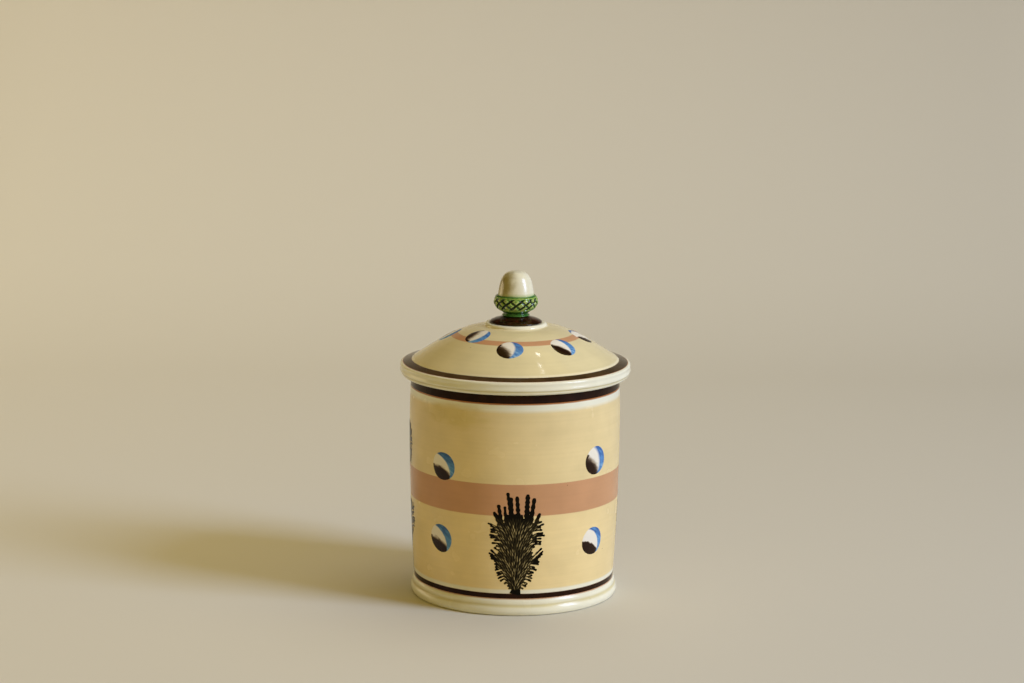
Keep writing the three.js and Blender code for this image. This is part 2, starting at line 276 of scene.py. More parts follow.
# the jar
jarHigh = span("jar_body")[1]
jarBandNodes = ("jar_foot_line", "jar_middle_band", "jar_rim_band")
jarBands = [span(node) for node in jarBandNodes]
jar = dict(
    turns=192, height=jarHigh.z, belly=jarHigh.x,
    bellyBelowMouth=29.6, baseTaper=3.05, mouthTaper=0.95,
    wall=5, floor=8.5, footTop=10.3, recess=2.5, footInner=55.7,
    throwing=0.12,        # depth of the finger rings inside
    creamLine=2.5,        # bare clay above the foot line
    creamStrip=4.6,       # pale strip under the rim band
    # drawn profiles, as steps out and up: the foot from the base, the mouth from its edge, the inner corner
    footProfile=[(0.2, 0), (1.5, 0.7), (2.15, 2.7), (1.85, 4.6), (1.1, 6.1), (1.02, 7.4),
                 (0.85, 8.8), (0.05, 10.1)],
    mouthProfile=[(0, -1.1), (-0.35, -0.35), (-1.4, 0), (-3.4, 0), (-4.6, -0.4), (-5, -1.6)],
    cornerProfile=[(-0.1, 6), (-1.4, 2), (-4.6, 0.2)],
)


def wallRadius(height):
    bellyHeight = jar["height"] - jar["bellyBelowMouth"]
    below = height < bellyHeight
    reach = bellyHeight - jar["footTop"] if below else jar["bellyBelowMouth"]
    taper = jar["baseTaper"] if below else jar["mouthTaper"]
    return jar["belly"] - taper * ((height - bellyHeight) / reach) ** 2


def wallLine(low, high, steps, out=0):
    heights = [low + (high - low) * i / steps for i in range(steps + 1)]
    return [(wallRadius(height) + out, height) for height in heights]


def jarOutline():
    base, mouth, top = wallRadius(jar["footTop"]), wallRadius(jar["height"]), jar["height"]
    inner, recess, floor = jar["footInner"], jar["recess"], jar["floor"]
    line = [(0, recess), (inner - 14, recess)]
    line += flow([(inner - 3, recess), (inner - 0.6, recess - 0.3), (inner, 0.9), (inner + 0.8, 0)], 3)
    line += flow([(base + out, up) for out, up in jar["footProfile"]], 5)
    seam, depth = bandFit["seam"], bandFit["depth"]
    for i, (low, high) in enumerate(jarBands):
        bottom, head = low.z - seam, high.z + seam
        line.append((wallRadius(bottom), bottom))
        line += wallLine(bottom, head, 6, -depth)
        line.append((wallRadius(head), head))
        if i < 2:
            line += wallLine(head, jarBands[i + 1][0].z - seam, 16)[1:-1]
    line += flow([(mouth + out, top + up) for out, up in jar["mouthProfile"]], 3)
    heights = [top - 1.6 - i * 1.2 for i in range(1, 101)]
    for height in (h for h in heights if h > floor + 7):
        line.append((wallRadius(height) - jar["wall"] + jar["throwing"] * math.sin(height * 0.75), height))
    corner = base - jar["wall"]
    line += flow([(corner + out, floor + up) for out, up in jar["cornerProfile"]], 4)
    line += [(r, floor + jar["throwing"] * math.sin(r * 0.7)) for r in range(50, 1, -1)]
    return line + [(0, floor)]


def bandOutline(low, high):
    depth, edge = bandFit["depth"] - bandFit["seam"], bandFit["round"]
    face = wallLine(low + edge, high - edge, 8, bandFit["proud"])
    foot = [(wallRadius(low) - depth, low), (wallRadius(low), low)]
    head = [(wallRadius(high), high), (wallRadius(high) - depth, high)]
    return foot + face + head


# yellow slip fields between bare clay lines, the brown bleeding a little at its edges; the field under the
# pink band is painted a little paler, painted light from the floor's bounce
bandHeights = [(low.z, high.z) for low, high in jarBands]
(footLineLow, footLineTop), (midLow, midHigh), (rimLow, rimHigh) = bandHeights
creamTop, stripLow = footLineTop + jar["creamLine"], rimLow - jar["creamStrip"]
jarStops = [
    (0, "cream"), (4.7, "cream"), (5.8, "pooled"), (6.6, "pooled"), (7.7, "cream"),
    (footLineLow - 0.6, "cream"), (footLineLow - 0.3, "bleed"), (footLineTop, "bleed"),
    (footLineTop + 0.1, "cream"), (creamTop - 0.2, "cream"), (creamTop + 0.2, "bounceLitYellow"),
    (midLow - 0.15, "bounceLitYellow"), (midLow + 0.1, "pink"), (midHigh - 0.1, "pink"),
    (midHigh + 0.15, "yellow"), (stripLow - 1.6, "yellow"), (stripLow + 0.9, "cream"),
    (rimLow - 1.1, "cream"), (rimLow - 0.6, "bleed"), (rimLow, "bleed"), (rimLow + 0.2, "brown"),
    (rimHigh, "brown"), (rimHigh + 0.3, "cream"), (jar["height"], "cream"),
]
# painted shade: the wall's shaded left, just under the lid's overhang, mixed towards honey
rimShadePatch = dict(middle=(-38, -53, rimLow - 9.5), reach=(28, 28, 9), hue="honey", amount=0.85)
jarSlip, tree = newMaterial("yellow_slip_fields_glazed")
fields = paintedShadePatch(tree, zones(tree, jarStops, "height"), **rimShadePatch)
glaze(tree, clouded(tree, fields), gloss=0.22, ior=1.42)

bm = turn(jarOutline(), jar["turns"])
for face in bm.faces:
    middle = face.calc_center_median() / mm
    radius = math.hypot(middle.x, middle.y)
    inside = radius < wallRadius(middle.z) - 1.5
    onMouth = middle.z > jar["height"] - 0.2
    face.material_index = 1 if inside or onMouth else 0
addPiece(bm, "jar", "jar", [jarSlip, creamware], "jar_body")
bandSlips = ((brownSlip, "brown_slip"), (pinkSlip, "pink_slip"), (brownSlip, "brown_slip"))
for node, (material, slot), (low, high) in zip(jarBandNodes, bandSlips, jarBands):
    bm = turn(bandOutline(low.z, high.z), jar["turns"], closed=True)
    addPiece(bm, node + "_slip", "jar", [material], node)
print("jar turned")

# the lid
lidLow, lidHigh = span("lid_dome")
edgeOuter, crownOuter = span("lid_edge_band")[1].x, span("lid_crown_band")[1].x
lid = dict(
    turns=192, rim=lidHigh.x, seat=jar["height"] + 0.3, wall=5.5,
    lipDrop=1.4, rimHeight=8.15, shoulderInset=1.4, shoulderWidth=6.3, shoulderRise=1.75,
    edgeInset=1.1, crownWidth=4.2,       # of the brown and the pink band
    domeStep=0.5, domeRise=20.2, edgeSlope=0.63, crownSlope=0.063, fullness=16, seatRadius=19.1,
    ringOuter=58.05, ringInner=54.05, ringBottom=lidLow.z,
    # drawn profiles, as steps out and up: the lip and the bead from the rim at the lip's height, and the
    # raised seat for the knob from the crown
    lipProfile=[(-2.8, 0), (-1.6, 0.45), (-0.85, 1.4), (-0.8, 2.2)],
    beadProfile=[(-0.8, 2.2), (-0.3, 2.75), (-0.02, 3.5), (-0.2, 4.5), (-0.32, 5.4), (-0.16, 6.5),
                 (-0.18, 7.1), (-0.6, 7.75)],
    seatProfile=[(0.15, 0.15), (-0.05, 1), (-0.8, 1.85), (-1.9, 2), (-2.9, 1.9)],
)
shoulder = Vector((lid["rim"] - lid["shoulderInset"], lid["seat"] - lid["lipDrop"] + lid["rimHeight"]))
domeEdge = shoulder + Vector((-lid["shoulderWidth"], lid["shoulderRise"] + lid["domeStep"]))
crown = Vector((lid["seatRadius"], domeEdge.y + lid["domeRise"]))
edgeInner = edgeOuter - lid["shoulderWidth"] + lid["edgeInset"]
crownInner = crownOuter - lid["crownWidth"]


# height of the dome at a radius: a smooth curve from the shoulder to the knob's seat
def domeHeight(radius):
    radius = max(radius, crown.x)
    pulls = [domeEdge, domeEdge + lid["fullness"] * Vector((-1, lid["edgeSlope"])),
             crown + lid["fullness"] * Vector((1, -lid["crownSlope"])), crown]
    low, high = 0, 1
    for _ in range(40):
        t = (low + high) / 2
        point = bend(pulls, t)
        low, high = (t, high) if point.x > radius else (low, t)
    return point.y


def shoulderHeight(radius):
    return shoulder.y + lid["shoulderRise"] * (shoulder.x - radius) / lid["shoulderWidth"]


def lidLine(heightAt, outer, inner, steps, up=0):
    radii = [outer + (inner - outer) * i / steps for i in range(steps + 1)]
    return [(radius, heightAt(radius) + up) for radius in radii]


def lidGroove(heightAt, outer, inner):
    seam, depth = bandFit["seam"], bandFit["depth"]
    rim = lidLine(heightAt, outer + seam, inner - seam, 6)
    return [rim[0]] + lidLine(heightAt, outer + seam, inner - seam, 6, -depth) + [rim[-1]]


def lidBand(heightAt, outer, inner):
    depth, edge = bandFit["depth"] - bandFit["seam"], bandFit["round"]
    ends = lidLine(heightAt, outer, inner, 1)
    back = lidLine(heightAt, outer, inner, 1, -depth)
    face = lidLine(heightAt, outer - edge, inner + edge, 6, bandFit["proud"])
    return [back[0], ends[0]] + face + [ends[1], back[1]]


def lidOutline():
    rim, seat, ring = lid["rim"], lid["seat"], lid["ringOuter"]
    lip = seat - lid["lipDrop"]
    hollow = lidLine(domeHeight, crown.x, lid["ringInner"] - 3, 14, -lid["wall"])
    low, inner = lid["ringBottom"], lid["ringInner"]
    line = [(r, crown.y - lid["wall"]) for r in (0, 6, 12)] + hollow
    hollowEnd = hollow[-1][1]
    line += flow([(inner - 1.6, hollowEnd - 1.8), (inner - 0.3, hollowEnd - 5), (inner, low + 9)], 4)
    line += flow([(inner, low + 2), (inner + 0.5, low + 0.5), (inner + 2, low),
                  (ring - 0.6, low + 0.5), (ring, low + 2)], 4)
    line += flow([(ring, seat - 0.9), (ring + 0.25, seat - 0.2), (ring + 0.9, seat)], 3)
    line += flow([(ring + 6.2, seat), (rim - 5.2, seat - 0.5),
                  (rim - 3.6, lip + 0.12), (rim - 2.8, lip)], 4)
    line += flow([(rim + out, lip + up) for out, up in lid["lipProfile"]], 4)[1:]
    line += flow([(rim + out, lip + up) for out, up in lid["beadProfile"]] + [tuple(shoulder)], 5)[1:]
    line += lidGroove(shoulderHeight, edgeOuter, edgeInner)
    line += flow([(domeEdge.x + 0.15, domeEdge.y - 0.45), (domeEdge.x - 0.2, domeEdge.y)], 2)
    line += lidLine(domeHeight, domeEdge.x - 0.6, crownOuter + 0.3, 18)
    line += lidGroove(domeHeight, crownOuter, crownInner)
    line += lidLine(domeHeight, crownInner - 0.3, crown.x + 0.6, 12)
    line += flow([(crown.x + out, crown.y + up) for out, up in lid["seatProfile"]], 4)
    seatTop = crown.y + lid["seatProfile"][-1][1]
    return line + [(12, seatTop), (0, seatTop)]


lidStops = [
    (0, "cream"), (crown.x - 0.2, "cream"), (crown.x + 0.5, "pale"), (crown.x + 1.1, "domeYellow"),
    (crownInner - 0.15, "domeYellow"), (crownInner + 0.1, "pink"), (crownOuter - 0.1, "pink"),
    (crownOuter + 0.15, "domeYellow"), (domeEdge.x - 0.9, "domeYellow"), (domeEdge.x - 0.5, "pale"),
    (edgeInner - 0.1, "pale"), (edgeInner + 0.1, "brown"), (edgeOuter - 0.2, "brown"),
    (edgeOuter, "bleed"), (edgeOuter + 0.25, "bleed"),
    (edgeOuter + 0.5, "cream"), (lid["rim"], "cream"),
]
lidSlip, tree = newMaterial("yellow_slip_dome_glazed")
fields = zones(tree, lidStops, "radius")
glaze(tree, clouded(tree, fields), gloss=0.05, swell=0.06, ior=1.42, pores=0.03)

# the same creamware on the lid's rim, where the glaze has run into the groove
lip = lid["seat"] - lid["lipDrop"]
rimStops = [(lip - 1, "cream"), (lip + 1.5, "cream"), (lip + 2, "pooled"), (lip + 2.5, "pooled"),
            (lip + 3, "cream"), (lip + 9, "cream")]
rimGlaze, tree = newMaterial("creamware_rim_glaze")
fields = zones(tree, rimStops, "height")
glaze(tree, clouded(tree, fields, specks=False), gloss=0.13, ior=1.42)
bm = turn(lidOutline(), lid["turns"])
for face in bm.faces:
    middle = face.calc_center_median() / mm
    onTop = face.normal.z > 0 and middle.z > shoulder.y
    onRim = middle.xy.length > lid["rim"] - 3
    face.material_index = 0 if onTop else 2 if onRim else 1
addPiece(bm, "lid", "lid", [lidSlip, creamware, rimGlaze], "lid_dome")
bm = turn(lidBand(shoulderHeight, edgeOuter, edgeInner), lid["turns"], closed=True)
addPiece(bm, "lid_edge_band_slip", "lid", [sheenBrownSlip], "lid_edge_band")
bm = turn(lidBand(domeHeight, crownOuter, crownInner), lid["turns"], closed=True)
addPiece(bm, "lid_crown_band_slip", "lid", [pinkSlip], "lid_crown_band")
print("lid turned")

# slip drops: three slips let fall together from one dropper, then glazed over
drop = dict(
    turns=48, jarSize=17.4, lidSize=16, thick=0.28, sunk=0.05, waver=0.025, poolRadius=2,
    # for each drop: the way to its blue in degrees and how far out the blue starts, the same for its brown,
    # and the blurs of the two edges; the upper four on the jar come first
    jarMarks=((37, 0.43, -110, 0.0, 0.05, 0.3), (10, 0.36, -137, -0.06, 0.14, 0.6),
              (25, 0.4, -120, 0.05, 0.08, 0.3), (20, 0.35, -125, 0, 0.1, 0.4),
              (33, 0.42, -110, -0.04, 0.05, 0.36), (25, 0.5, -119, 0.12, 0.05, 0.14),
              (30, 0.45, -115, 0.04, 0.06, 0.25), (22, 0.4, -128, 0, 0.08, 0.35)),
    lidMarks=((1, 0.38, -146, -0.06, 0.1, 0.62), (4, 0.42, -141, 0.04, 0.07, 0.36),
              (45, 0.6, -135, 0.3, 0.06, 0.2), (10, 0.4, -140, 0.05, 0.08, 0.3),
              (5, 0.38, -150, 0, 0.08, 0.3), (-5, 0.42, -145, 0.05, 0.08, 0.3),
              (10, 0.4, -150, 0.1, 0.08, 0.3), (-13, 0.5, -178, -0.12, 0.08, 0.85)),
    # streaks in the slips: their lean and size, what sets each drop's own apart, and how far they pull
    # the brown and the blue; then where brown gathers at the edge, and how the blue pales downwards
    streakLean=-30, streakSize=(0.9, 0.24, 1), streakScale=1.4, shift=(60, 60, 60),
    brownPull=0.3, bluePull=0.25, rimFrom=0.76, rimTo=0.92, rimBlur=0.12, pale=0.16,
)
chance = random.Random(7)

# white slip with a brown pool on one side and a blue crescent on the other, blurred where they ran together
dropSlip, tree = newMaterial("three_slip_drop_glazed")
face = add(tree, "UVMap", uv_map="dropFace")
# each drop's own marks: ring and pool, a middle with its radius as third number, and the two blurs
ring, pool, blur = [add(tree, "Attribute", attribute_name=name).outputs["Vector"]
                    for name in ("blueRing", "brownPool", "slipBlur")]
ringParts, poolParts, blurs = [add(tree, "SeparateXYZ", {"Vector": mark}).outputs
                               for mark in (ring, pool, blur)]
disc = add(tree, "Mapping", {"Location": (0.5, 0.5, 0), "Scale": (0.5, 0.5, 1), "Vector": face},
           vector_type="TEXTURE")     # minus one to one across the drop
streaked = add(tree, "Mapping", {"Rotation": (0, 0, math.radians(drop["streakLean"])),
                                 "Scale": drop["streakSize"], "Vector": disc}, vector_type="TEXTURE")
place = add(tree, "TexCoord").outputs["Object"]
shifted = add(tree, "VectorMath", {0: place, 1: drop["shift"], 2: streaked}, operation="MULTIPLY_ADD")
streak = add(tree, "TexNoise", {"Scale": drop["streakScale"], "Detail": 3, "Vector": shifted})
pull = add(tree, "Math", {0: streak, 1: drop["brownPull"], 2: -drop["brownPull"] / 2},
           operation="MULTIPLY_ADD")
poolSpot = add(tree, "VectorMath", {0: pool, 1: (1, 1, 0)}, operation="MULTIPLY")
away = add(tree, "VectorMath", {0: disc, 1: poolSpot}, operation="DISTANCE")
lean = add(tree, "Math", {0: poolParts["Z"], 1: away}, operation="SUBTRACT")
leaning = add(tree, "Math", {0: lean, 1: pull}, operation="ADD")
brownPart = add(tree, "MapRange", {"Value": leaning, "From Max": blurs["Y"]}, **smooth)
edge = add(tree, "VectorMath", {0: disc}, operation="LENGTH")
edgePart = add(tree, "MapRange", {"From Min": drop["rimFrom"], "From Max": drop["rimTo"], "Value": edge},
               **smooth)
lowPart = add(tree, "MapRange", {"From Min": 0, "From Max": drop["rimBlur"], "Value": lean}, **smooth)
rimPart = add(tree, "Math", {0: edgePart, 1: lowPart}, operation="MULTIPLY")
pooled = add(tree, "Math", {0: brownPart, 1: rimPart}, operation="MAXIMUM")
whiteBrown = add(tree, "ValToRGB", {"Fac": pooled},
                 stops=[(0, "white"), (0.35, "dropGrey"), (0.65, "dropUmber"), (1, "dropBrown")])
ringSpot = add(tree, "VectorMath", {0: ring, 1: (1, 1, 0)}, operation="MULTIPLY")
crescent = add(tree, "VectorMath", {0: disc, 1: ringSpot}, operation="DISTANCE")
pastRing = add(tree, "Math", {0: crescent, 1: ringParts["Z"]}, operation="SUBTRACT")
bluePull = add(tree, "Math", {0: pull, 1: drop["bluePull"], 2: pastRing}, operation="MULTIPLY_ADD")
blueStart = add(tree, "Math", {0: blurs["X"], 1: -1}, operation="MULTIPLY")
bluePart = add(tree, "MapRange", {"Value": bluePull, "From Min": blueStart, "From Max": blurs["X"]},
               **smooth)
height = add(tree, "SeparateXYZ", {"Vector": disc}).outputs["Y"]
paler = add(tree, "Math", {0: height, 1: -drop["pale"], 2: streak}, operation="MULTIPLY_ADD")
blueTone = add(tree, "ValToRGB", {"Fac": paler},
               stops=[(0.3, "blueDeep"), (0.6, "blue"), (0.85, "bluePale")])
threeSlips = add(tree, "Mix", {"Factor": bluePart, "A": whiteBrown, "B": blueTone}, data_type="RGBA")
glaze(tree, threeSlips, gloss=0.16, swell=0.05, ior=1.27)


# a low lens with its own flat map, not yet laid on the pot
def dropLens(size, mark):
    half, thick = size / 2, drop["thick"]
    outline = [(0, thick), (half * 0.5, thick * 0.95), (half * 0.78, thick * 0.76),
               (half * 0.93, thick * 0.42), (half, 0), (half * 0.97, -drop["sunk"]), (0, -drop["sunk"])]
    bm = turn(outline, drop["turns"])
    flatMap = bm.loops.layers.uv.new("dropFace")
    for corner in (loop for face in bm.faces for loop in face.loops):
        corner[flatMap].uv = corner.vert.co.xy / (2 * half * mm) + Vector((0.5, 0.5))
    blueWay, blueEdge, brownWay, brownEdge, blueBlur, brownBlur = mark
    ringSize = (1 + blueEdge ** 2) / (2 * blueEdge)   # puts the crescent's tips on the drop's edge
    ring = Matrix.Rotation(math.radians(blueWay), 2) @ Vector((blueEdge - ringSize, 0))
    pool = Matrix.Rotation(math.radians(brownWay), 2) @ Vector((brownEdge + drop["poolRadius"], 0))
    marks = {"blueRing": (*ring, ringSize), "brownPool": (*pool, drop["poolRadius"]),
             "slipBlur": (blueBlur, brownBlur, 0)}
    for name, value in marks.items():
        layer = bm.verts.layers.float_vector.new(name)
        for vert in bm.verts:
            vert[layer] = value
    phases = [chance.uniform(0, 6.28) for _ in range(3)]
    for vert in bm.verts:
        around = math.atan2(vert.co.y, vert.co.x)
        stray = sum(math.sin((i + 2) * around + phase) / (i + 1.5) for i, phase in enumerate(phases))
        vert.co.xy *= 1 + drop["waver"] * stray
    return bm


# bends a flat piece, drawn across and up in metres, on to the jar's wall
def layOnWall(bm, azimuth, height):
    for vert in bm.verts:
        across, up, out = vert.co / mm
        angle = azimuth + across / wallRadius(height)
        radius = wallRadius(height + up) + out
        vert.co = Vector((radius * math.sin(angle), -radius * math.cos(angle), height + up)) * mm


# the same on the lid's dome, where up is towards the knob
def layOnDome(bm, azimuth, radius):
    outward = Vector((math.sin(azimuth), -math.cos(azimuth)))
    along = Vector((math.cos(azimuth), math.sin(azimuth)))
    slope = math.atan2(domeHeight(radius - 1) - domeHeight(radius + 1), 2)
    for vert in bm.verts:
        across, up, out = vert.co / mm
        spot = outward * (radius - up * math.cos(slope)) + along * across
        vert.co = Vector((spot.x, spot.y, domeHeight(spot.length) + out / math.cos(slope))) * mm


jarDropNodes = [f"jar_drop_{row}_{i}" for row in ("upper", "lower") for i in range(1, 5)]
dropNodes = jarDropNodes + [f"lid_drop_{i}" for i in range(1, 9)]
for node, mark in zip(dropNodes, drop["jarMarks"] + drop["lidMarks"]):
    low, high = span(node)
    middle = (low + high) / 2
    azimuth, onJar = math.atan2(middle.x, -middle.y), node in jarDropNodes
    bm = dropLens(drop["jarSize" if onJar else "lidSize"], mark)
    if onJar:
        layOnWall(bm, azimuth, middle.z)
    else:
        layOnDome(bm, azimuth, middle.xy.length)
    addPiece(bm, node + "_slip", "jar" if onJar else "lid", [dropSlip], node, crease=80)
print("slip drops laid:", len(dropNodes))

# the knob: a brown disc, the acorn's cup and its nut
footHigh = span("knob_foot")[1]
cupLow, cupHigh = span("acorn_cup")
nutLow, nutHigh = span("acorn_nut")
knob = dict(
    turns=96, footRadius=footHigh.x, footBottom=crown.y + 1.9, footTop=footHigh.z,
    cupTurns=336, cupBottom=cupLow.z, cupTop=cupHigh.z, cupRadius=cupHigh.x, socket=11.2,
    crossings=14, lean=0.78, cutDepth=0.8, cutWidth=0.68, pillow=0.25, lattice=(177.2, 185.0),
    # for each set of cuts: the way it leans, its weight at foot and top, and what its ends leave out
    cuts=((-1, 1, 1, 0.02), (1, 0.45, 1, 0.12)), cutStray=0.1, cutEnd=0.08,
    slant=0.72, edgeAt=1.8, hollowWidth=2.2,            # of a cut, the last two in cut widths
    # how deep the glaze pools: on the lattice's rims, the plain sides, under the cup (pooled glaze and
    # painted shade), and in the lattice
    poolRim=0.2, poolSide=0.46, poolAndShadeUnder=0.25, poolField=0.38, poolEdge=-0.34, poolCut=1.1,
    nutBottom=nutLow.z, nutTop=nutHigh.z, nutRadius=nutHigh.x,
    nutShoulder=4.6, nutSide=(1.5, 15.1), nutTip=3.2,   # where the side starts to close, and what pulls it
    # drawn profiles: the neck as radius and rise, the disc's edge as steps out from its rim and up
    neckProfile=[(8.2, 0), (8.55, 0.4), (7.9, 1.0), (7.62, 1.6), (8.2, 2.2)],
    discEdge=[(-0.5, 0.1), (-0.02, 0.45), (-0.35, 0.95), (-1.3, 1.6)],
)

# manganese brown glaze, thick and glassy: black where it pools, red brown where it thins
discGlaze, tree = newMaterial("brown_glaze_thick")
place = add(tree, "TexCoord").outputs["Object"]
thin = add(tree, "TexNoise", {"Scale": 1 / (5 * mm), "Detail": 3, "Vector": place})
tone = add(tree, "ValToRGB", {"Fac": thin}, stops=[(0.42, "#1C0D05"), (0.6, "#341709"), (0.75, "#552410")])
glaze(tree, tone, gloss=0.07, swell=0.25, ior=1.42)
top, bottom, rim = knob["footTop"], knob["footBottom"], knob["footRadius"]
outline = [(0, bottom), (rim - 1.2, bottom)]
outline += flow([(rim + out, bottom + up) for out, up in knob["discEdge"]] +
                [(rim - 3.4, top - 1.45), (rim - 6.1, top - 0.7), (rim - 7.9, top - 0.1)], 5)
outline.append((0, top))
addPiece(turn(outline, knob["turns"]), "knob_disc", "lid", [discGlaze], "knob_foot")

# copper green glaze: thin and yellow green on raised parts, bottle green in hollows, near black in the cuts
leafGlaze, tree = newMaterial("copper_green_glaze")
pool = add(tree, "Attribute", attribute_name="glazePool").outputs["Fac"]
place = add(tree, "TexCoord").outputs["Object"]
patchy = add(tree, "TexNoise", {"Scale": 1 / (2.2 * mm), "Detail": 3, "Vector": place})
run = add(tree, "Math", {0: patchy, 1: 0.5, 2: -0.25}, operation="MULTIPLY_ADD")
depth = add(tree, "Math", {0: pool, 1: run}, operation="ADD")
greens = [(0, "#B9C27A"), (0.2, "#8FA552"), (0.36, "#5F8A3C"), (0.52, "#2C6427"), (0.7, "#10300D"),
          (0.88, "#050C04")]
tone = add(tree, "ValToRGB", {"Fac": depth}, stops=greens)
glaze(tree, tone, gloss=0.1, swell=0.1)
low, high, wide, hole = knob["cupBottom"], knob["cupTop"], knob["cupRadius"], knob["socket"]
latticeLow, latticeHigh = knob["lattice"]
outline = [(0, low)]
outline += flow([(radius, low + up) for radius, up in knob["neckProfile"]], 4)
outline += flow([(9.6, low + 3.1), (wide - 2.4, low + 4.1), (wide - 0.95, low + 5.6),
                 (wide - 0.15, low + 7.4), (wide, low + 9.1), (wide - 0.35, low + 10.9),
                 (wide - 1.15, high - 0.5), (wide - 1.7, high)], 9)
outline += flow([(hole + 0.35, high - 0.1), (hole, high - 0.6), (hole, high - 2.5)], 3) + [(0, high - 2.5)]
bm = turn(outline, knob["cupTurns"])
glazePool = bm.verts.layers.float.new("glazePool")
bm.normal_update()
for vert in bm.verts:
    around, height = math.atan2(vert.co.y, vert.co.x), vert.co.z / mm
    share = (height - latticeLow) / (latticeHigh - latticeLow)
    radius = math.hypot(vert.co.x, vert.co.y) / mm
    # darker just under the cup, where the neck meets it: pooled glaze and painted shade from the cup's
    # overhang
    underCup = math.exp(-((height - low - 2.4) / 0.9) ** 2)
    onLattice = latticeLow - 0.4 < height < latticeHigh + 0.35
    vert[glazePool] = knob["poolRim"] if onLattice else knob["poolSide"] + knob["poolAndShadeUnder"] * underCup
    if 0 < share < 1 and radius > hole + 0.5:
        pitch = 2 * math.pi * radius / knob["crossings"]
        cut, raised, hollow = 0, 0, 0
        for side, footWeight, topWeight, spare in knob["cuts"]:
            lane = around * knob["crossings"] / (2 * math.pi) + side * knob["lean"] * (2 * share - 1)
            stray = math.sin(4.7 * math.floor(lane) + side) * knob["cutStray"]
            aside = abs(lane - math.floor(lane) - 0.5 + stray) * pitch * knob["slant"] / knob["cutWidth"]
            weight = footWeight + (topWeight - footWeight) * share
            fromEnds = min(share - spare / 2, 1 - spare / 2 - share)
            ends = max(0, min(1, fromEnds / knob["cutEnd"]))
            cut = max(cut, weight * ends * math.exp(-aside ** 2))
            raised = max(raised, weight * ends * math.exp(-(aside - knob["edgeAt"]) ** 2))
            hollow = max(hollow, math.exp(-(aside / knob["hollowWidth"]) ** 2))
        vert.co -= vert.normal * (knob["cutDepth"] * cut + knob["pillow"] * hollow) * mm
        pooled = knob["poolField"] + knob["poolEdge"] * raised + knob["poolCut"] * cut
        vert[glazePool] = min(1, max(0, pooled))
addPiece(bm, "acorn_cup_glazed", "lid", [leafGlaze], "acorn_cup", crease=70)

# the nut's cream glaze, with green run up a little from the cup
nutGlaze, tree = newMaterial("cream_glaze_on_nut")
runHeight = knob["cupTop"]
stops = [(runHeight - 1, "#2F6A3E"), (runHeight, "#6B9462"), (runHeight + 0.7, "#BFC796"),
         (runHeight + 2.2, "nutCream"), (knob["nutTop"], "nutCream")]
# painted shade: the nut's shaded upper left mixed towards olive
nutShadePatch = dict(middle=(-8, -6.5, knob["nutTop"] - 7), reach=(9.5, 9.5, 11), hue="olive", amount=0.85)
cream = paintedShadePatch(tree, zones(tree, stops, "height", waver=1.1), **nutShadePatch)
glaze(tree, clouded(tree, cream, patch=12, depth=0.07, specks=False), gloss=0.18)
low, high, wide = knob["nutBottom"], knob["nutTop"], knob["nutRadius"]
outline = [(0, low), (wide - 1, low)] + flow([(wide - 0.3, low + 0.4), (wide, low + 1.4)], 4)
sideIn, sideUp = knob["nutSide"]
pulls = [(wide, low + knob["nutShoulder"]), (wide - sideIn, low + sideUp),
         (wide - knob["nutTip"], high), (0, high)]
outline += [tuple(bend(pulls, i / 32)) for i in range(33)]
bm = turn(outline, knob["turns"])
addPiece(bm, "acorn_nut_glazed", "lid", [nutGlaze], "acorn_nut", crease=70)
print("acorn knob set")

